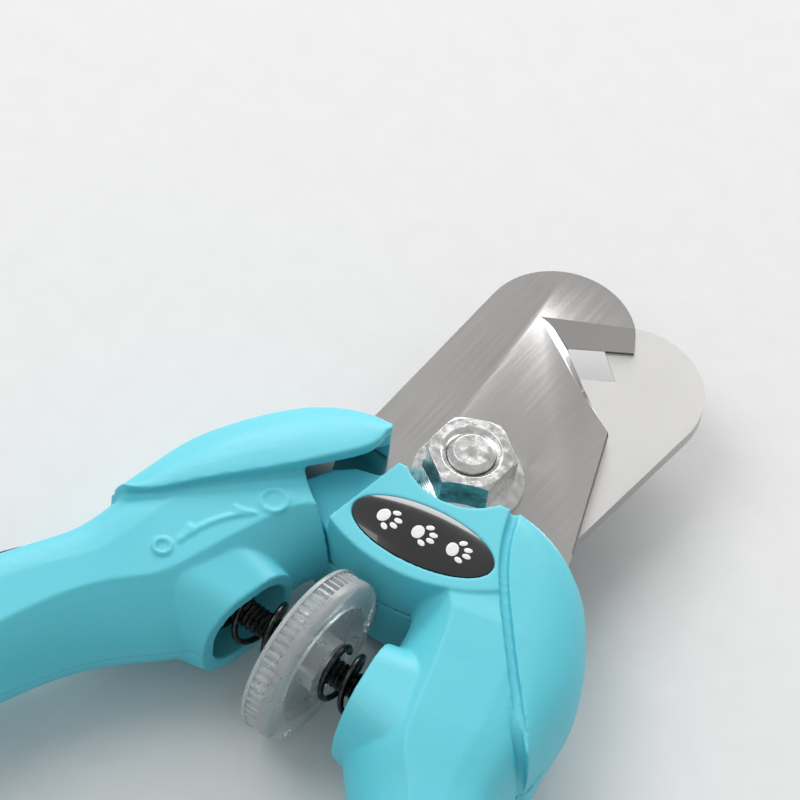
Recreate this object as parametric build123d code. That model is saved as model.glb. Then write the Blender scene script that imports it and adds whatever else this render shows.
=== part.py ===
from build123d import *
import math
import os

# Pet nail clipper, plier type: two notched steel blades turn on one bolt between
# plastic handles, and a thumb wheel on a rod between the handles sets the opening.
# Millimetres.  The pivot is the origin here: +Y to the blade tips, +Z up, the
# plane between the two blades is Z = 0.  Each handle has one plate half and one
# hood half; the left handle is the right one turned over about the Y axis.

# ---- blades ---------------------------------------------------------------
BLADE_THICK = 2.0
BLADE_GAP = 0.1
BLADE_HALF = 14.66
TIP_R = 10.0
TIP_CENTRE = (-4.66, 26.1)
UPPER_TURN = 0.2
LOWER_TURN = -3.8
INNER_CORNER = (9.31, 17.40)
INNER_HEEL = (16.4, -0.6)
EDGE_BEVEL = 0.7
# Notch outlines from the hook's end, round the apex, past the inner corner: at the
# cutting edge, at the break between the two grinds, and at the blade's outer face.
EDGE_LAND = 0.2
GRIND_BREAK = 1.55
NOTCH_EDGE = [(6.13, 32.46), (-2.9, 26.2), (-2.0, 25.3), (3.1, 21.75), (12.4, 15.2)]
NOTCH_BREAK = [(6.2, 34.4), (-6.3, 27.0), (-2.3, 24.9), (3.1, 21.0), (12.6, 15.4)]
NOTCH_FACE = [(5.92, 35.05), (-7.98, 26.72), (-2.12, 23.44), (3.15, 20.23), (12.87, 15.57)]
BLADE_TOP = BLADE_GAP / 2 + BLADE_THICK
BLADE_SLOT = 0.1

# ---- pivot ------------------------------------------------------------------
BOLT_R = 3.0
HOLE_R = 3.05
FLANGE_R = 7.05
HEX_AF = 10.0
NUT_TALL = 6.0
FLANGE_THICK = 1.4
HEX_TURN = 27.0
WASHER_THICK = 0.5

# ---- handle heads -------------------------------------------------------------
TOP = 8.0
STEP_TOP = 5.0
HEAD_R = 20.3
HEAD_CLEAR_R = 20.6
GROOVE_HALF = 0.55
GROOVE_DEEP = 0.9
HEAD_FLOOR = 0.15
SCALLOP_R = 8.2
HOOD_FLOOR = 8.45
STEP_ROOF = 5.3

# ---- thumb wheel, rod and swivels ---------------------------------------------
SWIVEL = (16.0, -31.5)
SWIVEL_R = 2.6
SWIVEL_TALL = 5.8
WHEEL_R = 11.0
WHEEL_THICK = 4.0
WEB_THICK = 1.2
RECESS_R = 7.9
RIB_COUNT = 60
HUB_R = 3.6
HUB_LONG = 2.3
LEFT_HUB_LONG = 1.2
ROD_R = 1.75
ROD_HEAD_R = 2.7
POCKET_HALF = 4.75
SPRING_R = 3.75
WIRE_R = 0.4
SPRING_TURNS = 3.5
RUN_FIT = 0.05

# ---- fixings ------------------------------------------------------------------
PIN_R = 1.5
PINS = [(12.5, -12.8), (19.6, -18.2)]
SCREW_R = 1.1
SCREW_HEAD_R = 2.1
SCREWS = [(22.2, -40.3), (34.6, -66.0), (39.6, -104.0)]

# ---- badge, icon and grip inlay -------------------------------------------------
BADGE_AT = (2.79, -13.8)
BADGE_AXES = (9.32, 4.17)
BADGE_TURN = 9.4
BADGE_SINK = 0.6
BADGE_RISE = 0.35
ICON_RISE = 0.25
INLAY_DEEP = 1.8
INLAY_PROUD = 0.42

# Handle stations along the right handle: inner point, outer point, top height,
# inner shoulder, outer shoulder, all in the plane between the shells.
STATIONS = [
    ((4.5, -17.0), (20.0, -9.5), 8.0, 4.0, 4.0),
    ((6.9, -21.0), (25.5, -15.5), 8.0, 4.5, 5.0),
    ((7.8, -25.0), (28.0, -21.0), 8.0, 5.4, 5.5),
    ((8.7, -30.0), (29.6, -26.5), 8.0, 6.2, 5.5),
    ((9.6, -35.0), (30.7, -31.0), 8.0, 6.8, 5.5),
    ((11.4, -40.0), (31.4, -35.0), 7.8, 7.0, 5.5),
    ((15.0, -44.2), (32.3, -37.9), 7.6, 6.8, 5.5),
    ((18.7, -48.4), (33.9, -41.2), 7.5, 6.0, 5.0),
    ((24.5, -59.5), (39.5, -52.2), 7.4, 4.8, 4.5),
    ((28.6, -70.5), (44.4, -64.8), 7.4, 4.4, 4.5),
    ((31.0, -83.0), (48.2, -79.5), 7.5, 4.4, 4.5),
    ((31.8, -96.0), (49.6, -95.0), 7.6, 4.4, 4.5),
    ((31.2, -108.0), (48.8, -110.0), 7.4, 4.4, 4.5),
    ((30.6, -116.5), (46.2, -120.5), 6.4, 4.0, 4.2),
    ((32.0, -121.8), (43.2, -124.6), 4.0, 2.8, 3.0),
    ((34.6, -124.6), (40.4, -126.0), 1.6, 1.4, 1.5),
]
GRIP_FIRST = 7
GRIP_LAST = 13

# Bulge spokes: groove point, outer point.
PLATE_SPOKES = [
    ((9.2, -3.6), (10.3, -2.3)),
    ((9.9, -5.6), (14.8, -2.0)),
    ((11.2, -8.4), (20.2, -4.5)),
    ((13.2, -11.6), (24.8, -9.5)),
    ((16.4, -15.6), (28.2, -15.2)),
    ((20.4, -20.2), (30.2, -21.0)),
    ((25.0, -25.2), (30.9, -26.5)),
    ((29.4, -29.6), (31.1, -31.0)),
]
HOOD_SPOKES = [
    ((8.9, -4.4), (10.3, -2.3)),
    ((9.0, -6.6), (14.8, -2.0)),
    ((9.6, -9.0), (20.2, -4.5)),
    ((12.0, -12.6), (24.8, -9.5)),
    ((15.2, -16.8), (28.2, -15.2)),
    ((19.4, -21.7), (30.2, -21.0)),
    ((24.0, -27.2), (30.9, -26.5)),
    ((28.6, -31.0), (31.1, -31.0)),
]
PLATE_HEIGHTS = [7.6, 7.9, 8.0, 8.0, 8.0, 8.0, 7.9, 7.4]
HOOD_HEIGHTS = [9.8, 10.0, 10.1, 10.1, 9.9, 9.5, 9.0, 8.3]


def turn_over(shape):
    """Turns a part of the right handle into the same part of the left handle."""
    return Rot(0, 180, 0) * shape


def slab(face, low, high):
    """Extrudes a plan-view face between two heights."""
    return Pos(0, 0, low) * extrude(face, amount=high - low)


def disc(radius, low, high, at=(0, 0)):
    return Pos(at[0], at[1], (low + high) / 2) * Cylinder(radius, high - low)


def polygon(points):
    return make_face(Polyline(*points, close=True))


# ---- blades -------------------------------------------------------------------
def blade_outline():
    """Plan outline of a blade before its notch is ground, tail to the lower right."""
    cx, cy = TIP_CENTRE
    turn = math.radians(20)
    hook = (cx + TIP_R * math.cos(turn), cy + TIP_R * math.sin(turn))
    edges = [
        Line((-BLADE_HALF, -7.0), (-BLADE_HALF, cy)),
        ThreePointArc((-BLADE_HALF, cy), (cx, cy + TIP_R), hook),
        Line(hook, INNER_CORNER),
        Line(INNER_CORNER, INNER_HEEL),
        Line(INNER_HEEL, (19.5, -10.0)),
        Line((19.5, -10.0), (24.0, -20.0)),
        Line((24.0, -20.0), (20.5, -23.0)),
        Line((20.5, -23.0), (10.0, -19.5)),
        Line((10.0, -19.5), (6.2, -18.5)),
        ThreePointArc((6.2, -18.5), (-5.0, -17.6), (-BLADE_HALF, -7.0)),
    ]
    return make_face(edges)


def notch_face(line, height):
    """Closed outline of the notch at one height, carried out past the blade."""
    beyond = [(30.0, 12.0), (30.0, 40.0)]
    return Pos(0, 0, height) * polygon(line + beyond)


def notch():
    """Everything ground away for the notch: a thin land, then two grinds."""
    low = BLADE_GAP / 2
    land = slab(notch_face(NOTCH_EDGE, 0), low - 0.3, low + EDGE_LAND)
    grinds = loft([
        notch_face(NOTCH_EDGE, low + EDGE_LAND),
        notch_face(NOTCH_BREAK, low + GRIND_BREAK),
        notch_face(NOTCH_FACE, BLADE_TOP),
    ], ruled=True)
    return land + grinds


def notch_bevel(start, end, width, top):
    """Wedge that grinds a cutting edge along a notch arm, on the blade's outer face."""
    sx, sy = start
    ex, ey = end
    run = math.hypot(ex - sx, ey - sy)
    along = ((ex - sx) / run, (ey - sy) / run)
    side = (-along[1], along[0])
    profile = [(-width, 0.3), (-width, 0.0), (0.2, -width * 0.9), (0.2, 0.3)]
    points = [
        Vector(sx + side[0] * u, sy + side[1] * u, top + w) for u, w in profile
    ]
    face = Face(Wire.make_polygon(points, close=True))
    return extrude(face, amount=run, dir=(along[0], along[1], 0))


def blade():
    """One blade lying on the positive side of the plane between the blades."""
    body = slab(blade_outline(), BLADE_GAP / 2, BLADE_TOP)
    body -= notch()
    body -= notch_bevel(INNER_HEEL, INNER_CORNER, EDGE_BEVEL, BLADE_TOP)
    return body - disc(HOLE_R, -1, 4)


def tail_pins(radius):
    return [disc(radius, -4.5, 5.0, at=spot) for spot in PINS]


def upper_blade():
    body = Rot(0, 0, UPPER_TURN) * blade()
    for pin in tail_pins(PIN_R + RUN_FIT):
        body -= pin
    return body


def lower_blade():
    body = Rot(0, 0, -LOWER_TURN) * blade()
    for pin in tail_pins(PIN_R + RUN_FIT):
        body -= pin
    return turn_over(body)


def blade_room(turn):
    """Space cut in a shell so the blade's rear half fits in it."""
    outline = offset(blade_outline(), BLADE_SLOT)
    return Rot(0, 0, turn) * slab(outline, -0.5, BLADE_TOP + BLADE_SLOT)


# ---- pivot hardware --------------------------------------------------------------
def hex_flange(height, domed):
    """Hexagon with a flange under it, standing on Z = 0."""
    hexagon = extrude(RegularPolygon(HEX_AF / 2, 6, major_radius=False, rotation=HEX_TURN), height)
    crown = Cone(HEX_AF, HEX_AF * 0.33, HEX_AF * 0.48, align=(Align.CENTER, Align.CENTER, Align.MIN))
    hexagon &= Pos(0, 0, height - HEX_AF * 0.48 + 1.35) * crown + Cylinder(
        HEX_AF, height - HEX_AF * 0.48 + 1.35, align=(Align.CENTER, Align.CENTER, Align.MIN)
    )
    skirt = Cylinder(FLANGE_R, 0.7, align=(Align.CENTER, Align.CENTER, Align.MIN))
    cone = Pos(0, 0, 0.7) * Cone(
        FLANGE_R, HEX_AF / 2, FLANGE_THICK - 0.2, align=(Align.CENTER, Align.CENTER, Align.MIN)
    )
    if domed:
        hexagon = hexagon - Pos(0, 0, height) * Cylinder(HEX_AF * 0.3, 0.6)
    return hexagon + skirt + cone


def pivot_nut():
    body = Pos(0, 0, BLADE_TOP + RUN_FIT) * hex_flange(NUT_TALL, False)
    body -= disc(BOLT_R + RUN_FIT, 0, 12)
    top = BLADE_TOP + RUN_FIT + NUT_TALL
    body -= Pos(0, 0, top - 0.35) * Cone(
        BOLT_R, BOLT_R + 0.9, 0.8, align=(Align.CENTER, Align.CENTER, Align.CENTER)
    )
    return body


def pivot_bolt():
    low = -(BLADE_TOP + WASHER_THICK + RUN_FIT)
    top = BLADE_TOP + NUT_TALL + 0.5
    shank = disc(BOLT_R, low - 1, top)
    shank = chamfer(shank.edges().group_by(Axis.Z)[-1], 0.7)
    head = Pos(0, 0, low) * Rot(180, 0, 0) * hex_flange(NUT_TALL - WASHER_THICK, True)
    return shank + head


def pivot_washer():
    low = -(BLADE_TOP + WASHER_THICK)
    return disc(FLANGE_R - 0.4, low, low + WASHER_THICK - 0.02) - disc(HOLE_R, low - 1, 0)


# ---- handle shells -----------------------------------------------------------------
def section(inner, outer, top, inset, outset, wall=0.0, outer_wall=0.0):
    """Half section of a handle standing on the line from inner to outer.

    A sloping inner side meets the flat top at a crest; the outer side is rounded."""
    span = math.hypot(outer[0] - inner[0], outer[1] - inner[1])
    ux = (outer[0] - inner[0]) / span
    uy = (outer[1] - inner[1]) / span
    low = wall
    high = span - outer_wall
    crown = top - wall
    crest = low + inset + 0.2
    shoulder = max(high - outset - 1.2, crest + 2.0)
    inner_side = [
        (low, 0.0), (low + 0.14 * inset, 0.36 * crown), (low + 0.47 * inset, 0.68 * crown),
        (crest, crown),
    ]
    outer_side = [
        (shoulder, crown), (shoulder + 0.8, 0.985 * crown), (high - 0.5 * outset, 0.86 * crown),
        (high - 0.11 * outset, 0.44 * crown), (high, 0.0),
    ]

    def placed(side):
        return [Vector(inner[0] + ux * u, inner[1] + uy * u, z) for u, z in side]

    up = placed(inner_side)
    down = placed(outer_side)
    return Face(Wire([
        Edge.make_spline(up),
        Edge.make_line(up[-1], down[0]),
        Edge.make_spline(down),
        Edge.make_line(down[-1], up[0]),
    ]))


def body_half():
    """Upper half of the right handle, without its bulge."""
    return loft([section(*station) for station in STATIONS])


def grip_hollow():
    """Room inside one half of the grip."""
    rooms = STATIONS[GRIP_FIRST + 1:GRIP_LAST]
    sections = []
    for inner, outer, top, inset, outset in rooms:
        sections.append(section(inner, outer, top, inset * 0.6, outset * 0.4, 2.2, 4.2))
    return loft(sections)


def bulge_half(spokes, heights):
    """Quarter-round swelling beside the groove, from the spokes' elliptic sections."""
    faces = []
    for (groove, outer), height in zip(spokes, heights):
        steps = [i * math.pi / 2 / 6 for i in range(7)]
        points = [
            Vector(
                groove[0] + (outer[0] - groove[0]) * math.sin(angle) ** 0.9,
                groove[1] + (outer[1] - groove[1]) * math.sin(angle) ** 0.9,
                height * math.cos(angle) ** 0.8,
            )
            for angle in steps[:-1]
        ]
        points.append(Vector(outer[0], outer[1], 0))
        foot = Vector(groove[0], groove[1], 0)
        curve = Edge.make_spline(points, tangents=[
            Vector(outer[0] - groove[0], outer[1] - groove[1], 0), Vector(0, 0, -1)])
        wire = Wire([
            Edge.make_line(foot, points[0]),
            curve,
            Edge.make_line(points[-1], foot),
        ])
        faces.append(Face(wire))
    return loft(faces)




def pocket_boss():
    """Lip around the mouth of the rod pocket, flared into the handle, upper half."""
    mouth = Pos(6.0, 0, 0) * (Plane.YZ * Pos(-32.5, 0) * RectangleRounded(13.4, 12.4, 5.5))
    root = Pos(19.0, 0, 0) * (Plane.YZ * Pos(-32.0, 0) * RectangleRounded(19.5, 15.6, 6.5))
    boss = loft([mouth, root])
    in_front = polygon([(0, -20), (6.46, -20), (7.4, -26.2), (9.6, -39.0), (10.0, -48), (0, -48)])
    boss -= slab(in_front, -9, 9)
    return boss & Pos(0, -33, 4.5) * Box(60, 60, 9)


def rod_pocket():
    """Room in a handle for the swivel, spring and rod as the handle closes."""
    plan = polygon([
        (13.0, -26.6), (16.0, -26.6), (27.0, -25.4), (28.8, -26.6), (28.8, -32.4),
        (20.5, -35.0), (16.0, -36.8), (13.0, -37.6),
    ])
    room = slab(plan, -POCKET_HALF, POCKET_HALF)
    mouth = Plane.YZ * Pos(-32.4, 0) * RectangleRounded(11.4, 2 * POCKET_HALF, 4.3)
    return room + Pos(4, 0, 0) * extrude(mouth, amount=10)


def icon():
    """Two rings and a bowed arrow with half barbs: small opening to large opening."""
    small_end = Vector(-19.1, -33.2)
    bow = Vector(-17.65, -28.2)
    large_end = Vector(-14.7, -24.1)
    side = Vector(0.225, -0.109)
    shaft = make_face([
        ThreePointArc(small_end + side, bow + side, large_end + side),
        Line(large_end + side, large_end - side),
        ThreePointArc(large_end - side, bow - side, small_end - side),
        Line(small_end - side, small_end + side),
    ])
    art = [
        Pos(-20.1, -35.0) * (Circle(1.25) - Circle(0.85)),
        Pos(-14.0, -21.2) * (Circle(1.85) - Circle(1.4)),
        shaft + polygon([(-19.0, -33.1), (-19.6, -30.35), (-18.3, -30.9)])
        + polygon([(-14.8, -24.2), (-17.2, -24.84), (-16.2, -26.1)]),
    ]
    return [slab(piece, TOP - 0.3, TOP + ICON_RISE) for piece in art]


def inlay_half(grow=0.0):
    """Upper half of the rubber inlay let into the outer side of the grip."""
    halves = {6: 0.7, 7: 2.6, 8: 3.7, 9: 3.8, 10: 3.8, 11: 3.8, 12: 3.4, 13: 0.9}
    faces = []
    for index, tall in halves.items():
        inner, outer = STATIONS[index][0:2]
        span = math.hypot(outer[0] - inner[0], outer[1] - inner[1])
        ux = (outer[0] - inner[0]) / span
        uy = (outer[1] - inner[1]) / span
        shape = [
            (-INLAY_DEEP - grow, 0), (-INLAY_DEEP - grow, tall + grow),
            (INLAY_PROUD - 0.45, tall + grow), (INLAY_PROUD - 0.05, tall * 0.85 + grow),
            (INLAY_PROUD, 0),
        ]
        points = [Vector(outer[0] + ux * u, outer[1] + uy * u, z) for u, z in shape]
        faces.append(Face(Wire.make_polygon(points, close=True)))
    return loft(faces)


def screw_cuts(through):
    """Pilot holes, or clearance holes with head recesses where the screws enter."""
    cuts = []
    for spot in SCREWS:
        if through:
            cuts.append(disc(SCREW_R + RUN_FIT, -1, 9, at=spot))
            cuts.append(disc(SCREW_HEAD_R + 0.15, 5.1, 12, at=spot))
        else:
            cuts.append(disc(SCREW_R + RUN_FIT, -1, 5.2, at=spot))
    return cuts


def common_cuts(shell, screws_enter):
    """Hollows that both halves of a handle share."""
    hollow = grip_hollow()
    for spot in SCREWS[1:]:
        hollow -= disc(3.0, -1, 12, at=spot)
    shell -= hollow
    shell -= inlay_half(RUN_FIT)
    shell += pocket_boss()
    shell -= rod_pocket()
    shell -= disc(SWIVEL_R + RUN_FIT, -1, SWIVEL_TALL + 0.1, at=SWIVEL)
    for cut in screw_cuts(screws_enter):
        shell -= cut
    return shell


def capped_body():
    return body_half() & Pos(28, -70, TOP / 2) * Box(80, 130, TOP)


def badge_face(grow):
    major, minor = BADGE_AXES
    return Pos(*BADGE_AT) * Rot(0, 0, BADGE_TURN) * Ellipse(major + grow, minor + grow)


def groove_cut():
    """Groove between the body and the bulge on a plate half."""
    line = [spoke[0] for spoke in PLATE_SPOKES]
    first, second = line[0], line[1]
    last, before = line[-1], line[-2]
    line[0] = (first[0] * 3 - second[0] * 2, first[1] * 3 - second[1] * 2)
    line[-1] = (last[0] * 1.5 - before[0] * 0.5, last[1] * 1.5 - before[1] * 0.5)
    near = []
    far = []
    for index, (x, y) in enumerate(line):
        ahead = line[min(index + 1, len(line) - 1)]
        behind = line[max(index - 1, 0)]
        run = math.hypot(ahead[0] - behind[0], ahead[1] - behind[1])
        side = ((behind[1] - ahead[1]) / run, (ahead[0] - behind[0]) / run)
        near.append((x - side[0] * GROOVE_HALF, y - side[1] * GROOVE_HALF))
        far.append((x + side[0] * GROOVE_HALF, y + side[1] * GROOVE_HALF))
    edges = [
        Spline(*near),
        Line(near[-1], far[-1]),
        Spline(*reversed(far)),
        Line(far[0], near[0]),
    ]
    return slab(make_face(edges), TOP - GROOVE_DEEP, TOP + 2)


def groove_tail():
    """The groove's last stretch, down the outer side to the parting plane."""
    path = Spline(
        (23.9, -25.2, 8.3), (26.0, -27.4, 7.75), (27.9, -29.2, 6.7), (29.6, -30.6, 4.6),
        (30.7, -31.6, 2.0), (31.0, -31.9, -0.6),
    )
    start = Plane(origin=path @ 0, z_dir=path % 0)
    return sweep(start * Circle(GROOVE_HALF), path)


def plate_half(blade_turn, screws_enter):
    """Upper half of the right handle: stepped head plate and closed bulge."""
    step_plan = polygon([
        (-6.0, -6.9), (-8.0, -8.2), (-10.5, -9.1), (-12.6, -11.2), (-14.2, -14.4),
        (-16.0, -20.0), (-8.0, -24.0), (14.0, -22.0), (12.0, -8.0), (9.2, -3.6),
    ])
    plate_plan = polygon([
        (-6.0, -6.9), (-7.75, -19.6), (-7.9, -24.0), (14.0, -22.0), (15.0, -14.0),
        (12.0, -8.0), (9.2, -3.6),
    ])
    shell = capped_body()
    shell += bulge_half(PLATE_SPOKES, PLATE_HEIGHTS)
    shell += slab(step_plan, 0, STEP_TOP) & disc(HEAD_R, 0, STEP_TOP)
    shell += slab(plate_plan, 0, TOP) & disc(HEAD_R, 0, TOP)
    shell -= disc(HEAD_CLEAR_R + 0.3, -1, HEAD_FLOOR)
    shell -= disc(SCALLOP_R, -1, 12)
    shell -= groove_cut()
    shell -= groove_tail()
    shell -= blade_room(blade_turn)
    for spot in PINS:
        shell -= disc(PIN_R + RUN_FIT, -1, 5.0, at=spot)
    shell -= slab(badge_face(0.06), TOP - BADGE_SINK, TOP + 1)
    return common_cuts(shell, screws_enter)


def hood_half(screws_enter):
    """Half with the hood the other handle's head turns under, built above Z = 0."""
    step_sweep = polygon([
        (0.0, 0.0), (9.3, -0.5), (9.3, -3.7), (14.0, -3.75), (16.9, -4.3), (19.4, -6.5),
        (24.0, -10.0), (24.0, -26.0), (-24.0, -26.0), (-24.0, 5.0),
    ])
    plate_sweep = polygon([
        (0.0, 0.0), (9.3, -0.5), (9.3, -4.0), (15.3, -13.6), (24.0, -20.0), (24.0, -26.0),
        (-24.0, -26.0), (-24.0, 5.0),
    ])
    shell = capped_body()
    shell += bulge_half(HOOD_SPOKES, HOOD_HEIGHTS)
    shell -= disc(HEAD_CLEAR_R, -1, BLADE_TOP + HEAD_FLOOR)
    shell -= slab(step_sweep, 0, STEP_ROOF) & disc(HEAD_CLEAR_R, 0, STEP_ROOF)
    shell -= slab(plate_sweep, 0, HOOD_FLOOR) & disc(HEAD_CLEAR_R, 0, HOOD_FLOOR)
    shell -= disc(PIN_R + RUN_FIT, -1, 4.5, at=PINS[1])
    return common_cuts(shell, screws_enter)


# ---- small parts ---------------------------------------------------------------------
def grip_inlay():
    half = inlay_half()
    return half + mirror(half, Plane.XY)


def badge():
    face = badge_face(0)
    body = slab(face, TOP - BADGE_SINK + 0.02, TOP + BADGE_RISE)
    return fillet(body.edges().group_by(Axis.Z)[-1], 0.55)


def blade_pins():
    """Pins that hold the right handle's blade in its shells."""
    short = disc(PIN_R, HEAD_FLOOR, 4.9, at=PINS[0])
    long = disc(PIN_R, -4.4, 4.9, at=PINS[1])
    return Compound([short.solid(), long.solid()])


def shell_screws(side):
    """Pan-head screws that enter a handle from below."""
    solids = []
    for spot in SCREWS:
        at = (side * spot[0], spot[1])
        shank = disc(SCREW_R, -5.15, 5.0, at=at)
        head = disc(SCREW_HEAD_R, -6.6, -5.13, at=at)
        head = fillet(head.edges().group_by(Axis.Z)[0], 0.7)
        head -= Pos(at[0], at[1], -6.6) * (Box(2.4, 0.6, 1.3) + Box(0.6, 2.4, 1.3))
        solids.append((shank + head).solid())
    return Compound(solids)


def swivel():
    """Cross-drilled pin that stands in the right handle and lets the rod through."""
    body = disc(SWIVEL_R, -SWIVEL_TALL, SWIVEL_TALL, at=SWIVEL)
    body = chamfer(body.edges(), 0.3)
    hole = Pos(SWIVEL[0], SWIVEL[1], 0) * Rot(0, 90, 0) * Cylinder(ROD_R + RUN_FIT, 8)
    return body - hole


def along_rod(radius, start, end):
    """Cylinder on the rod's axis between two X positions."""
    return Pos((start + end) / 2, SWIVEL[1], 0) * Rot(0, 90, 0) * Cylinder(radius, end - start)


def rod(start):
    """Rod half on the right side, from the wheel to its head behind the swivel."""
    seat = SWIVEL[0] + SWIVEL_R + 0.1
    body = along_rod(ROD_R, start, seat + 1.5)
    return body + along_rod(ROD_HEAD_R, seat, seat + 1.2)


def wheel():
    """Ribbed thumb wheel with recessed faces and a hub on each side."""
    half = WHEEL_THICK / 2
    ribs = []
    for index in range(RIB_COUNT * 4):
        radius = WHEEL_R - (0.15 if index % 4 < 2 else 0.55)
        angle = 2 * math.pi * index / (RIB_COUNT * 4)
        ribs.append((radius * math.cos(angle), radius * math.sin(angle)))
    band = Pos(-1.4, SWIVEL[1], 0) * Rot(0, 90, 0) * extrude(polygon(ribs), 2.0)
    left_rim = along_rod(WHEEL_R, -half, -1.4)
    left_rim = fillet(left_rim.edges().group_by(Axis.X)[0], 0.3)
    right_rim = along_rod(WHEEL_R, 0.6, half)
    right_rim = fillet(right_rim.edges().group_by(Axis.X)[-1], 0.8)
    body = band + left_rim + right_rim
    body -= along_rod(RECESS_R, -half - 1, -WEB_THICK / 2)
    body -= along_rod(RECESS_R, WEB_THICK / 2, half + 1)
    body += along_rod(HUB_R, -WEB_THICK / 2 - LEFT_HUB_LONG, WEB_THICK / 2 + HUB_LONG)
    body -= along_rod(ROD_R + RUN_FIT, 0.2, half + 4)
    body -= along_rod(ROD_R + RUN_FIT, -half - 4, -0.2)
    return body


def spring(start, end):
    """Coil spring on the rod's axis between two X positions."""
    wire = WIRE_R
    length = end - start - 2 * wire - 0.1
    path = Helix(pitch=length / SPRING_TURNS, height=length, radius=SPRING_R - wire)
    profile = Plane(origin=path @ 0, z_dir=path % 0) * Circle(wire)
    coil = sweep(profile, path, is_frenet=True)
    return Pos(start + wire + 0.05, SWIVEL[1], 0) * Rot(0, 90, 0) * coil


def all_parts():
    """Every node of the clipper by name."""
    right_top = plate_half(UPPER_TURN, False)
    left_bottom = turn_over(plate_half(-LOWER_TURN, True))
    hood = hood_half(True)
    right_bottom = mirror(hood, Plane.XY)
    left_top = mirror(hood_half(False), Plane.YZ)
    for raised in icon():
        left_top += raised
    right_hub = WEB_THICK / 2 + HUB_LONG
    left_hub = WEB_THICK / 2 + LEFT_HUB_LONG
    seat = SWIVEL[0] - SWIVEL_R
    return {
        "right_handle_top": right_top,
        "right_handle_bottom": right_bottom,
        "left_handle_top": left_top,
        "left_handle_bottom": left_bottom,
        "upper_blade": upper_blade(),
        "lower_blade": lower_blade(),
        "pivot_bolt": pivot_bolt(),
        "pivot_nut": pivot_nut(),
        "pivot_washer": pivot_washer(),
        "right_grip_inlay": grip_inlay(),
        "left_grip_inlay": turn_over(grip_inlay()),
        "top_badge": badge(),
        "bottom_badge": turn_over(badge()),
        "right_blade_pins": blade_pins(),
        "left_blade_pins": turn_over(blade_pins()),
        "right_shell_screws": shell_screws(1),
        "left_shell_screws": shell_screws(-1),
        "right_swivel": swivel(),
        "left_swivel": turn_over(swivel()),
        "right_rod": rod(0.3),
        "left_rod": turn_over(rod(0.3)),
        "thumb_wheel": wheel(),
        "right_spring": spring(right_hub, seat),
        "left_spring": turn_over(spring(left_hub, seat)),
    }


if __name__ == "__main__":
    os.makedirs("parts", exist_ok=True)
    parts = all_parts()
    whole = Compound(list(parts.values())).bounding_box()
    stand = Pos(-whole.center().X, -whole.center().Y, -whole.min.Z)
    print("pivot in the record's frame", stand.position)
    for node, shape in parts.items():
        print(node, round(shape.volume, 1), shape.is_valid, len(shape.solids()))
        export_step(stand * shape, f"parts/{node}.step")
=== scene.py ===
import math

import bmesh
import bpy
from mathutils import Matrix, Vector


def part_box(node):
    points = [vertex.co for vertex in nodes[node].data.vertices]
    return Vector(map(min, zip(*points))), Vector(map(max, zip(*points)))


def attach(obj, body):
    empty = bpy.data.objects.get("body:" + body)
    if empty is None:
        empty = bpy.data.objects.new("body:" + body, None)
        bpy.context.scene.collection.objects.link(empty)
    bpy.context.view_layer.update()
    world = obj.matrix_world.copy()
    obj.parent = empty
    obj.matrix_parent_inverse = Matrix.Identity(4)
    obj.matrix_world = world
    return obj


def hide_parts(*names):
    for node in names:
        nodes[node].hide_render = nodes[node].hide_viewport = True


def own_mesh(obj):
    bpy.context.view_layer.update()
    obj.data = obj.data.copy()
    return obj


# Plier-type pet nail clipper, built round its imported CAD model.  Everything is in
# metres in the model's own frame: +Y to the blade tips, +Z up, lying on Z = 0.
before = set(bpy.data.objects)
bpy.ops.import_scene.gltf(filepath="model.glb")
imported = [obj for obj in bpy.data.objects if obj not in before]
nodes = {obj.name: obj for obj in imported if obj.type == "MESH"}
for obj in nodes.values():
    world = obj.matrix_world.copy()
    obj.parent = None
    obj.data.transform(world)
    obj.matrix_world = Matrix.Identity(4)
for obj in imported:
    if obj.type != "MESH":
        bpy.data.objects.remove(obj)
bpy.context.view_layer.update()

MM = 0.001


def centre(node):
    low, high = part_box(node)
    return (Vector(low) + Vector(high)) / 2


PIVOT = Vector((
    centre("pivot_bolt").x,
    centre("pivot_bolt").y,
    (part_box("upper_blade")[0][2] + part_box("lower_blade")[1][2]) / 2,
))
ROD_LINE = centre("thumb_wheel")

# ---- camera and light -----------------------------------------------------------
CAMERA_AIM = PIVOT + Vector((-14.5, 5.9, 0.0)) * MM
CAMERA_DISTANCE = 500.2 * MM
CAMERA_AZIMUTH = math.radians(30.30)
CAMERA_ELEVATION = math.radians(52.93)
CAMERA_ROLL = math.radians(8.04)
CAMERA_LENS = 180.0
CAMERA_SENSOR = 36.0
WORLD_STRENGTH = 0.50

# ---- plastic shells ---------------------------------------------------------------
SHELL_VOXEL = 0.22 * MM
SHELL_EASE_ROUNDS = 3
RUBBER_VOXEL = 0.25 * MM
RUBBER_EASE_ROUNDS = 3

# ---- machined pieces ----------------------------------------------------------------
WELD_DISTANCE = 0.0005 * MM
FLAT_ANGLE = math.radians(0.6)
BEVEL_ANGLE = math.radians(28)
BLADE_BEVEL = 0.07 * MM
BOLT_BEVEL = 0.12 * MM
NUT_BEVEL = 0.10 * MM
FINE_BEVEL = 0.06 * MM

# ---- badge --------------------------------------------------------------------------
BADGE_TURN = math.radians(9.4)
BADGE_AXES = (9.3 * MM, 4.15 * MM)
BADGE_DEPTH = 0.9 * MM
BADGE_RISE = 0.33 * MM
PRINT_THICK = 0.05 * MM
DOME_EDGE = 0.02 * MM
PAW_STEP = 4.7 * MM
PAW_SCALE = 0.98 * MM

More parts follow.
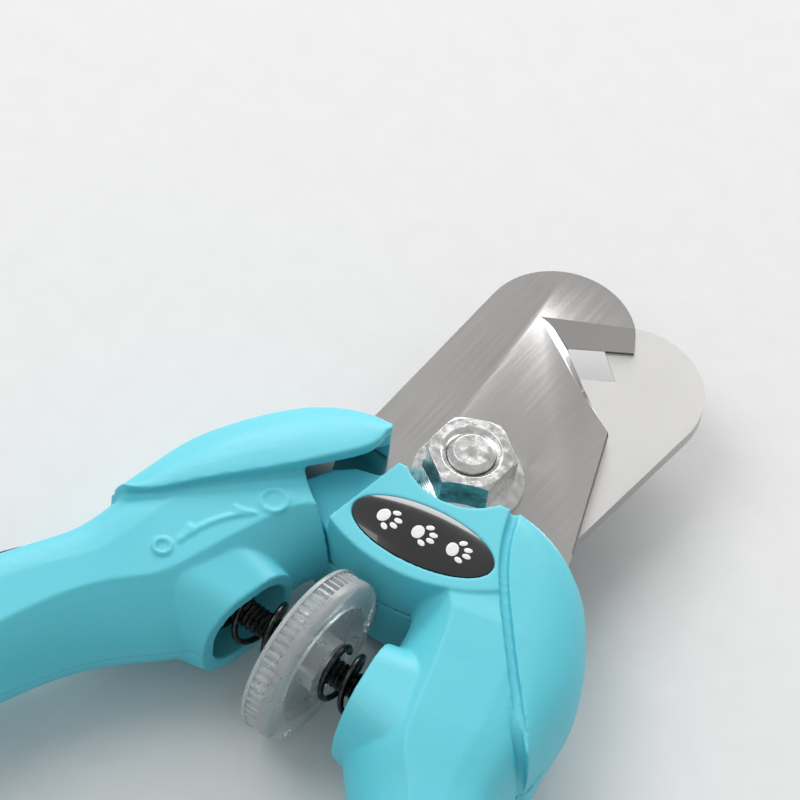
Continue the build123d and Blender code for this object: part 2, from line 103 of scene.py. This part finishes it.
# ---- rod, springs -------------------------------------------------------------------
ROD_RADIUS = 1.75 * MM
THREAD_PITCH = 0.7 * MM
THREAD_DEPTH = 0.3 * MM
WIRE_RADIUS = 0.4 * MM
COIL_RADIUS = 3.35 * MM
COIL_TURNS = 3.5
END_TURN_CLOSING = 0.55
ROD_HEAD_RADIUS = 2.65 * MM


# ---- object helpers ---------------------------------------------------------------
def link(name, mesh):
    piece = bpy.data.objects.new(name, mesh)
    bpy.context.scene.collection.objects.link(piece)
    return piece


def copy_of(node, name):
    """A separate piece with the mesh of a CAD node, joined along its seams."""
    mesh = nodes[node].data.copy()
    mesh.materials.clear()
    if "custom_normal" in mesh.attributes:
        mesh.attributes.remove(mesh.attributes["custom_normal"])
    shape = bmesh.new()
    shape.from_mesh(mesh)
    bmesh.ops.remove_doubles(shape, verts=shape.verts, dist=WELD_DISTANCE)
    shape.to_mesh(mesh)
    shape.free()
    return link(name, mesh)


def settle(piece):
    """Makes a piece's modifiers part of its mesh."""
    graph = bpy.context.evaluated_depsgraph_get()
    mesh = bpy.data.meshes.new_from_object(piece.evaluated_get(graph))
    piece.modifiers.clear()
    piece.data = mesh
    return piece


def smooth_shade(piece, sharp_angle=None):
    for face in piece.data.polygons:
        face.use_smooth = True
    if sharp_angle is not None:
        piece.data.set_sharp_from_angle(angle=math.radians(sharp_angle))
    return piece


def moulded(node, name, voxel, rounds):
    """A moulded piece: the node's shape with every edge softly rounded."""
    piece = copy_of(node, name)
    skin = piece.modifiers.new("skin", "REMESH")
    skin.mode = "VOXEL"
    skin.voxel_size = voxel
    ease = piece.modifiers.new("ease", "SMOOTH")
    ease.factor = 0.5
    ease.iterations = rounds
    return smooth_shade(settle(piece))


def eased(node, name, width, segments=2):
    """A machined piece: the node's flat faces with a fine bevel on every sharp edge."""
    piece = copy_of(node, name)
    shape = bmesh.new()
    shape.from_mesh(piece.data)
    bmesh.ops.dissolve_limit(
        shape, angle_limit=FLAT_ANGLE, verts=shape.verts, edges=shape.edges)
    shape.to_mesh(piece.data)
    shape.free()
    smooth_shade(piece)
    bevel = piece.modifiers.new("bevel", "BEVEL")
    bevel.width = width
    bevel.segments = segments
    bevel.limit_method = "ANGLE"
    bevel.angle_limit = BEVEL_ANGLE
    bevel.use_clamp_overlap = True
    bevel.harden_normals = True
    return settle(piece)


def dress(piece, material, slot_name, body, *replaced):
    """Gives a piece its material and body, and hides the nodes it stands for; slot_name is not
    used.
    """
    piece.data.materials.clear()
    piece.data.materials.append(material)
    if replaced:
        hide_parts(*replaced)
    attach(piece, body)
    return piece


# ---- material helpers ---------------------------------------------------------------
class Finish:
    """A Principled material with object coordinates ready for its textures."""

    def __init__(self, name):
        self.material = bpy.data.materials.new(name)
        self.material.use_nodes = True
        self.tree = self.material.node_tree
        self.shader = self.tree.nodes["Principled BSDF"]
        self.place = self.tree.nodes.new("ShaderNodeTexCoord").outputs["Object"]

    def set(self, **values):
        for key, value in values.items():
            self.shader.inputs[key.replace("_", " ")].default_value = value
        return self

    def noise(self, scale, detail=4.0, stretch=(1, 1, 1)):
        mapping = self.tree.nodes.new("ShaderNodeMapping")
        mapping.inputs["Scale"].default_value = stretch
        self.tree.links.new(self.place, mapping.inputs["Vector"])
        texture = self.tree.nodes.new("ShaderNodeTexNoise")
        texture.inputs["Scale"].default_value = scale
        texture.inputs["Detail"].default_value = detail
        self.tree.links.new(mapping.outputs["Vector"], texture.inputs["Vector"])
        return texture.outputs["Fac"]

    def ramp(self, value, *stops):
        node = self.tree.nodes.new("ShaderNodeValToRGB")
        ramp = node.color_ramp
        while len(ramp.elements) < len(stops):
            ramp.elements.new(0.5)
        for element, (position, colour) in zip(ramp.elements, stops):
            element.position = position
            element.color = (*colour, 1.0)
        self.tree.links.new(value, node.inputs["Fac"])
        return node.outputs["Color"]

    def between(self, value, low, high):
        node = self.tree.nodes.new("ShaderNodeMapRange")
        node.inputs["From Min"].default_value = 0.3
        node.inputs["From Max"].default_value = 0.7
        node.inputs["To Min"].default_value = low
        node.inputs["To Max"].default_value = high
        self.tree.links.new(value, node.inputs["Value"])
        return node.outputs["Result"]

    def bump(self, value, depth, after=None):
        node = self.tree.nodes.new("ShaderNodeBump")
        node.inputs["Strength"].default_value = 1.0
        node.inputs["Distance"].default_value = depth
        self.tree.links.new(value, node.inputs["Height"])
        if after is not None:
            self.tree.links.new(after, node.inputs["Normal"])
        return node.outputs["Normal"]

    def wire(self, **sources):
        for key, source in sources.items():
            self.tree.links.new(source, self.shader.inputs[key.replace("_", " ")])
        return self

    def rings(self, middle, step):
        """Concentric rings about a vertical axis through middle."""
        shift = self.tree.nodes.new("ShaderNodeMapping")
        shift.inputs["Location"].default_value = (-middle.x, -middle.y, -middle.z)
        self.tree.links.new(self.place, shift.inputs["Vector"])
        wave = self.tree.nodes.new("ShaderNodeTexWave")
        wave.wave_type = "RINGS"
        wave.rings_direction = "Z"
        wave.inputs["Scale"].default_value = math.pi / (10 * step)
        wave.inputs["Distortion"].default_value = 1.5
        wave.inputs["Detail"].default_value = 3.0
        self.tree.links.new(shift.outputs["Vector"], wave.inputs["Vector"])
        return wave.outputs["Fac"]


def turquoise_plastic():
    """Satin moulded plastic with a fine spark-eroded grain and faint flow tones."""
    finish = Finish("turquoise_plastic")
    finish.set(IOR=1.5, Specular_IOR_Level=0.6, Subsurface_Weight=0.06, Subsurface_Scale=0.6 * MM)
    flow = finish.noise(28.0, 3.0, (1.0, 0.55, 1.0))
    tone = finish.ramp(flow, (0.30, (0.098, 0.585, 0.700)), (0.70, (0.128, 0.640, 0.748)))
    grain = finish.noise(3200.0, 2.0)
    patch = finish.noise(160.0, 3.0)
    return finish.wire(
        Base_Color=tone,
        Roughness=finish.between(patch, 0.43, 0.52),
        Normal=finish.bump(grain, 0.010 * MM),
    ).material


def ground_steel(name, dark, light, rough_low, rough_high):
    """Stainless plate ground along its length, then polished; the dark and light base colours each
    blade is given also carry a painted reflection.
    """
    finish = Finish(name)
    finish.set(Metallic=1.0, Anisotropic=0.35)
    streak = finish.noise(3600.0, 2.0, (1.0, 0.02, 1.0))
    cloud = finish.noise(45.0, 4.0)
    return finish.wire(
        Base_Color=finish.ramp(cloud, (0.30, dark), (0.70, light)),
        Roughness=finish.between(streak, rough_low, rough_high),
        Normal=finish.bump(streak, 0.00006 * MM),
    ).material


def zinc_plate():
    """Bright zinc on turned and pressed hardware, with turning rings and scuffs."""
    finish = Finish("plated_steel")
    finish.set(Metallic=1.0)
    scuff = finish.noise(900.0, 6.0)
    cloud = finish.noise(900.0, 4.0)
    turned = finish.bump(finish.rings(PIVOT, 0.22 * MM), 0.006 * MM)
    return finish.wire(
        Base_Color=finish.ramp(cloud, (0.30, (0.62, 0.62, 0.61)), (0.68, (0.88, 0.88, 0.87))),
        Roughness=finish.between(scuff, 0.14, 0.34),
        Normal=finish.bump(scuff, 0.004 * MM, turned),
    ).material


def black_rubber():
    finish = Finish("black_rubber")
    grain = finish.noise(1500.0, 4.0)
    return finish.wire(
        Base_Color=finish.ramp(grain, (0.3, (0.012, 0.012, 0.013)), (0.7, (0.028, 0.028, 0.030))),
        Roughness=finish.between(grain, 0.55, 0.75),
        Normal=finish.bump(grain, 0.02 * MM),
    ).material


def resin_badge():
    """Black print under a clear resin dome."""
    finish = Finish("badge_black")
    finish.set(Coat_Weight=1.0, Coat_Roughness=0.02, Specular_IOR_Level=0.5)
    haze = finish.noise(120.0, 3.0)
    return finish.wire(
        Base_Color=finish.ramp(haze, (0.3, (0.004, 0.004, 0.005)), (0.7, (0.012, 0.012, 0.013))),
        Roughness=finish.between(haze, 0.10, 0.18),
    ).material


def white_print():
    finish = Finish("white_print")
    finish.set(Coat_Weight=1.0, Coat_Roughness=0.03)
    speck = finish.noise(2200.0, 4.0)
    return finish.wire(
        Base_Color=finish.ramp(speck, (0.3, (0.82, 0.82, 0.82)), (0.7, (0.90, 0.90, 0.90))),
        Roughness=finish.between(speck, 0.30, 0.40),
    ).material


def dark_steel(name, dark, light, rough_low, rough_high):
    """Blackened or plain small steel parts with a little wear."""
    finish = Finish(name)
    finish.set(Metallic=1.0)
    wear = finish.noise(1300.0, 5.0)
    return finish.wire(
        Base_Color=finish.ramp(wear, (0.35, dark), (0.70, light)),
        Roughness=finish.between(wear, rough_low, rough_high),
        Normal=finish.bump(wear, 0.003 * MM),
    ).material


def clear_plastic():
    """Frosted moulded acrylic."""
    finish = Finish("clear_plastic")
    finish.set(IOR=1.46, Transmission_Weight=0.72)
    swirl = finish.noise(420.0, 4.0)
    return finish.wire(
        Base_Color=finish.ramp(swirl, (0.3, (0.90, 0.92, 0.925)), (0.7, (0.97, 0.98, 0.98))),
        Roughness=finish.between(swirl, 0.24, 0.38),
        Normal=finish.bump(swirl, 0.02 * MM),
    ).material


# ---- pieces ---------------------------------------------------------------------------
def badge_height(u, v):
    """Height of the resin dome above its rim at a place given in the badge's axes."""
    reach = min(1.0, math.hypot(u / BADGE_AXES[0], v / BADGE_AXES[1]))
    return BADGE_RISE * (1.0 - reach ** 3) + DOME_EDGE


def badge_dome(node, name, side):
    """Oval resin dome.  side is 1 on top and -1 underneath."""
    middle = centre(node)
    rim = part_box(node)[1][2] - 0.35 * MM if side > 0 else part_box(node)[0][2] + 0.35 * MM
    rings = 26
    around = 112
    shape = bmesh.new()
    rows = []
    for ring in range(1, rings + 1):
        reach = math.sin(ring / rings * math.pi / 2)
        row = []
        for step in range(around):
            angle = 2 * math.pi * step / around
            u = BADGE_AXES[0] * reach * math.cos(angle)
            v = BADGE_AXES[1] * reach * math.sin(angle)
            row.append(shape.verts.new((u, v, badge_height(u, v))))
        rows.append(row)
    skirt = [shape.verts.new((v.co.x, v.co.y, 0.3 * MM - BADGE_DEPTH)) for v in rows[-1]]
    rows.append(skirt)
    top = shape.verts.new((0, 0, badge_height(0, 0)))
    for inner, outer in zip(rows, rows[1:]):
        for step in range(around):
            after = (step + 1) % around
            shape.faces.new((inner[step], outer[step], outer[after], inner[after]))
    for step in range(around):
        shape.faces.new((top, rows[0][step], rows[0][(step + 1) % around]))
    shape.faces.new(list(reversed(skirt)))
    place = Matrix.Translation((middle.x, middle.y, rim))
    if side < 0:
        place = place @ Matrix.Rotation(math.pi, 4, "Y")
    shape.transform(place @ Matrix.Rotation(BADGE_TURN, 4, "Z"))
    mesh = bpy.data.meshes.new(name)
    shape.to_mesh(mesh)
    shape.free()
    return smooth_shade(link(name, mesh), 50), place @ Matrix.Rotation(BADGE_TURN, 4, "Z")


def paw_print():
    """Outline ovals of one paw print: middle, half width, half height, turn."""
    toes = [(-1.30, 0.35, 25), (-0.48, 1.18, 8), (0.48, 1.18, -8), (1.30, 0.35, -25)]
    ovals = [(0.0, -0.72, 1.02, 0.78, 0.0)]
    for x, y, turn in toes:
        ovals.append((x, y, 0.36, 0.54, math.radians(turn)))
    return ovals


def badge_print(place, name):
    """A row of three paw prints lying on the dome."""
    shape = bmesh.new()
    around = 40
    for index in (-1, 0, 1):
        lean = math.radians(-90 + 12 * index)
        for x, y, half_wide, half_tall, turn in paw_print():
            rows = []
            for reach, lift in ((1.0, -0.6), (1.0, 0.55), (0.86, 1.0), (0.45, 1.0)):
                row = []
                for step in range(around):
                    angle = 2 * math.pi * step / around
                    a = half_wide * reach * math.cos(angle)
                    b = half_tall * reach * math.sin(angle)
                    px = x + a * math.cos(turn) - b * math.sin(turn)
                    py = y + a * math.sin(turn) + b * math.cos(turn)
                    u = PAW_STEP * index + PAW_SCALE * (px * math.cos(lean) - py * math.sin(lean))
                    v = PAW_SCALE * (px * math.sin(lean) + py * math.cos(lean)) * 0.98
                    row.append(shape.verts.new((u, v, badge_height(u, v) + lift * PRINT_THICK)))
                rows.append(row)
            for low, high in zip(rows, rows[1:]):
                for step in range(around):
                    after = (step + 1) % around
                    shape.faces.new((low[step], low[after], high[after], high[step]))
            shape.faces.new(rows[-1])
            shape.faces.new(list(reversed(rows[0])))
    shape.transform(place)
    mesh = bpy.data.meshes.new(name)
    shape.to_mesh(mesh)
    shape.free()
    return smooth_shade(link(name, mesh), 40)


def tube(shape, path, radius, around=14):
    """Closed round tube along a list of points."""
    rows = []
    for index, point in enumerate(path):
        ahead = path[min(index + 1, len(path) - 1)]
        behind = path[max(index - 1, 0)]
        along = (ahead - behind).normalized()
        out = Vector((0, point.y - ROD_LINE.y, point.z - ROD_LINE.z)).normalized()
        out = (out - along * out.dot(along)).normalized()
        side = along.cross(out)
        row = []
        for step in range(around):
            angle = 2 * math.pi * step / around
            spot = point + out * (radius * math.cos(angle)) + side * (radius * math.sin(angle))
            row.append(shape.verts.new(spot))
        rows.append(row)
    for low, high in zip(rows, rows[1:]):
        for step in range(around):
            after = (step + 1) % around
            shape.faces.new((low[step], low[after], high[after], high[step]))
    shape.faces.new(list(reversed(rows[0])))
    shape.faces.new(rows[-1])


def coil_spring(node, name):
    """Compression spring whose end turns close up, in the node's own length."""
    low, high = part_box(node)
    start = low[0] + WIRE_RADIUS
    length = high[0] - WIRE_RADIUS - start
    steps = 220
    path = []
    for index in range(steps + 1):
        share = index / steps
        eased_share = share - END_TURN_CLOSING * math.sin(2 * math.pi * share) / (2 * math.pi)
        angle = 2 * math.pi * COIL_TURNS * share
        path.append(Vector((
            start + length * eased_share,
            ROD_LINE.y + COIL_RADIUS * math.cos(angle),
            ROD_LINE.z + COIL_RADIUS * math.sin(angle),
        )))
    shape = bmesh.new()
    tube(shape, path, WIRE_RADIUS)
    mesh = bpy.data.meshes.new(name)
    bmesh.ops.recalc_face_normals(shape, faces=shape.faces)
    shape.to_mesh(mesh)
    shape.free()
    return smooth_shade(link(name, mesh), 60)


def threaded_rod(node, name, side):
    """Threaded rod with a turned head, along X.  side is 1 on the right."""
    low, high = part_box(node)
    inner = low[0] if side > 0 else -high[0]
    outer = high[0] if side > 0 else -low[0]
    head_start = outer - 1.7 * MM
    head_end = outer - 0.5 * MM
    around = 36
    profile = []
    steps = int((head_start - inner) / THREAD_PITCH * 8)
    for index in range(steps + 1):
        profile.append((inner + (head_start - inner) * index / steps, None))
    profile += [
        (head_start, ROD_HEAD_RADIUS - 0.25 * MM), (head_start + 0.15 * MM, ROD_HEAD_RADIUS),
        (head_end - 0.2 * MM, ROD_HEAD_RADIUS), (head_end, ROD_HEAD_RADIUS - 0.3 * MM),
        (head_end, ROD_RADIUS), (outer - 0.25 * MM, ROD_RADIUS), (outer, ROD_RADIUS - 0.3 * MM),
    ]
    shape = bmesh.new()
    rows = []
    for x, radius in profile:
        row = []
        for step in range(around):
            angle = 2 * math.pi * step / around
            reach = radius
            if reach is None:
                phase = (x / THREAD_PITCH - step / around) % 1.0
                reach = ROD_RADIUS - THREAD_DEPTH * abs(2 * phase - 1) ** 1.3
            row.append(shape.verts.new((
                side * x,
                ROD_LINE.y + reach * math.cos(angle),
                ROD_LINE.z + reach * math.sin(angle),
            )))
        rows.append(row)
    for first, second in zip(rows, rows[1:]):
        for step in range(around):
            after = (step + 1) % around
            shape.faces.new((first[step], first[after], second[after], second[step]))
    shape.faces.new(rows[0])
    shape.faces.new(list(reversed(rows[-1])))
    bmesh.ops.recalc_face_normals(shape, faces=shape.faces)
    mesh = bpy.data.meshes.new(name)
    shape.to_mesh(mesh)
    shape.free()
    return smooth_shade(link(name, mesh), 45)


# ---- stage ------------------------------------------------------------------------------
def place_camera():
    """Camera at the aim point's distance, turned about its own line of sight."""
    data = bpy.data.cameras.new("camera")
    data.lens = CAMERA_LENS
    data.sensor_width = CAMERA_SENSOR
    data.clip_start = 0.01
    data.clip_end = 20
    camera = bpy.data.objects.new("camera", data)
    bpy.context.scene.collection.objects.link(camera)
    back = Vector((
        math.sin(CAMERA_AZIMUTH) * math.cos(CAMERA_ELEVATION),
        -math.cos(CAMERA_AZIMUTH) * math.cos(CAMERA_ELEVATION),
        math.sin(CAMERA_ELEVATION),
    ))
    turn = (-back).to_track_quat("-Z", "Y").to_matrix().to_4x4()
    roll = Matrix.Rotation(CAMERA_ROLL, 4, "Z")
    camera.matrix_world = Matrix.Translation(CAMERA_AIM + back * CAMERA_DISTANCE) @ turn @ roll
    bpy.context.scene.camera = camera


def softbox(name, azimuth, elevation, distance, wide, tall, radiance):
    """Area light that faces the pivot.  Azimuth 0 is +Y, 90 is -X."""
    data = bpy.data.lights.new(name, "AREA")
    data.shape = "RECTANGLE"
    data.size = wide
    data.size_y = tall
    data.energy = radiance * wide * tall * math.pi
    light = bpy.data.objects.new(name, data)
    bpy.context.scene.collection.objects.link(light)
    a = math.radians(azimuth)
    e = math.radians(elevation)
    away = Vector((-math.sin(a) * math.cos(e), math.cos(a) * math.cos(e), math.sin(e)))
    light.matrix_world = (
        Matrix.Translation(PIVOT + away * distance)
        @ away.to_track_quat("Z", "Y").to_matrix().to_4x4()
    )


def light_scene():
    world = bpy.data.worlds.new("studio")
    world.use_nodes = True
    sky = world.node_tree.nodes["Background"]
    sky.inputs["Color"].default_value = (1, 1, 1, 1)
    sky.inputs["Strength"].default_value = WORLD_STRENGTH
    bpy.context.scene.world = world
    bpy.context.scene.view_settings.view_transform = "Standard"
    softbox("back", 30, 27, 1.2, 1.1, 0.5, 6.2)
    softbox("left", 100, 55, 1.4, 0.9, 0.9, 2.4)


def lay_floor():
    half = 3.0
    mesh = bpy.data.meshes.new("floor")
    corners = [(-half, -half, 0), (half, -half, 0), (half, half, 0), (-half, half, 0)]
    mesh.from_pydata(corners, [], [(0, 1, 2, 3)])
    plane = link("floor", mesh)
    plane.location.z = -0.05 * MM
    finish = Finish("floor")
    paper = finish.noise(220.0, 4.0)
    finish.wire(
        Base_Color=finish.ramp(paper, (0.3, (0.78, 0.78, 0.78)), (0.7, (0.81, 0.81, 0.81))),
        Roughness=finish.between(paper, 0.8, 0.95),
    )
    mesh.materials.append(finish.material)


# ---- build --------------------------------------------------------------------------------
place_camera()
light_scene()
lay_floor()

plastic = turquoise_plastic()
# The two blades are one steel. Their base colours are set apart as painted reflection, lighter on
# the upper blade and darker on the lower; their different roughness is the polish of each.
upper_steel_painted_reflection = ground_steel(
    "upper_blade_steel_painted_reflection", (0.56, 0.55, 0.54), (0.63, 0.62, 0.61), 0.16, 0.20)
lower_steel_painted_reflection = ground_steel(
    "lower_blade_steel_painted_reflection", (0.48, 0.475, 0.465), (0.53, 0.525, 0.515), 0.36, 0.40)
zinc = zinc_plate()
rubber = black_rubber()
resin = resin_badge()
paint = white_print()
oxide = dark_steel("black_steel", (0.020, 0.020, 0.022), (0.055, 0.054, 0.056), 0.20, 0.38)
wire_steel = dark_steel("spring_steel", (0.030, 0.028, 0.028), (0.085, 0.080, 0.078), 0.16, 0.30)
plain_steel = dark_steel("pin_steel", (0.42, 0.42, 0.42), (0.60, 0.60, 0.60), 0.22, 0.36)
acrylic = clear_plastic()

for side in ("left", "right"):
    body = f"{side}_handle"
    for half in ("top", "bottom"):
        node = f"{side}_handle_{half}"
        shell = moulded(node, f"{side}_{half}_shell", SHELL_VOXEL, SHELL_EASE_ROUNDS)
        dress(shell, plastic, "turquoise_plastic", body, node)
    inlay = moulded(f"{side}_grip_inlay", f"{side}_rubber_strip", RUBBER_VOXEL, RUBBER_EASE_ROUNDS)
    dress(inlay, rubber, "black_rubber", body, f"{side}_grip_inlay")
    pins = eased(f"{side}_blade_pins", f"{side}_dowels", BOLT_BEVEL)
    dress(pins, plain_steel, "pin_steel", body, f"{side}_blade_pins")
    screws = eased(f"{side}_shell_screws", f"{side}_screws", FINE_BEVEL)
    dress(screws, plain_steel, "pin_steel", body, f"{side}_shell_screws")
    barrel = eased(f"{side}_swivel", f"{side}_barrel", FINE_BEVEL)
    dress(barrel, oxide, "black_steel", f"{side}_swivel", f"{side}_swivel")

upper = eased("upper_blade", "upper_ground_blade", BLADE_BEVEL)
dress(upper, upper_steel_painted_reflection, "blade_steel", "right_handle", "upper_blade")
lower = eased("lower_blade", "lower_ground_blade", BLADE_BEVEL)
dress(lower, lower_steel_painted_reflection, "blade_steel", "left_handle", "lower_blade")

for node, name, width in (
    ("pivot_bolt", "bolt", BOLT_BEVEL),
    ("pivot_nut", "nut", NUT_BEVEL),
    ("pivot_washer", "washer", FINE_BEVEL),
):
    dress(eased(node, name, width), zinc, "plated_steel", "left_handle", node)

dome, dome_place = badge_dome("top_badge", "top_dome", 1)
dress(dome, resin, "badge_black", "right_handle", "top_badge")
dress(badge_print(dome_place, "top_paw_prints"), paint, "badge_black", "right_handle")
dome, dome_place = badge_dome("bottom_badge", "bottom_dome", -1)
dress(dome, resin, "badge_black", "left_handle", "bottom_badge")
dress(badge_print(dome_place, "bottom_paw_prints"), paint, "badge_black", "left_handle")

wheel = eased("thumb_wheel", "ribbed_wheel", FINE_BEVEL)
dress(wheel, acrylic, "clear_plastic", "wheel", "thumb_wheel")

for side, sign in (("left", -1), ("right", 1)):
    rod = threaded_rod(f"{side}_rod", f"{side}_threaded_rod", sign)
    dress(rod, oxide, "black_steel", f"{side}_rod", f"{side}_rod")
    coil = coil_spring(f"{side}_spring", f"{side}_coil")
    dress(coil, wire_steel, "spring_steel", f"{side}_swivel", f"{side}_spring")
    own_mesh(coil)
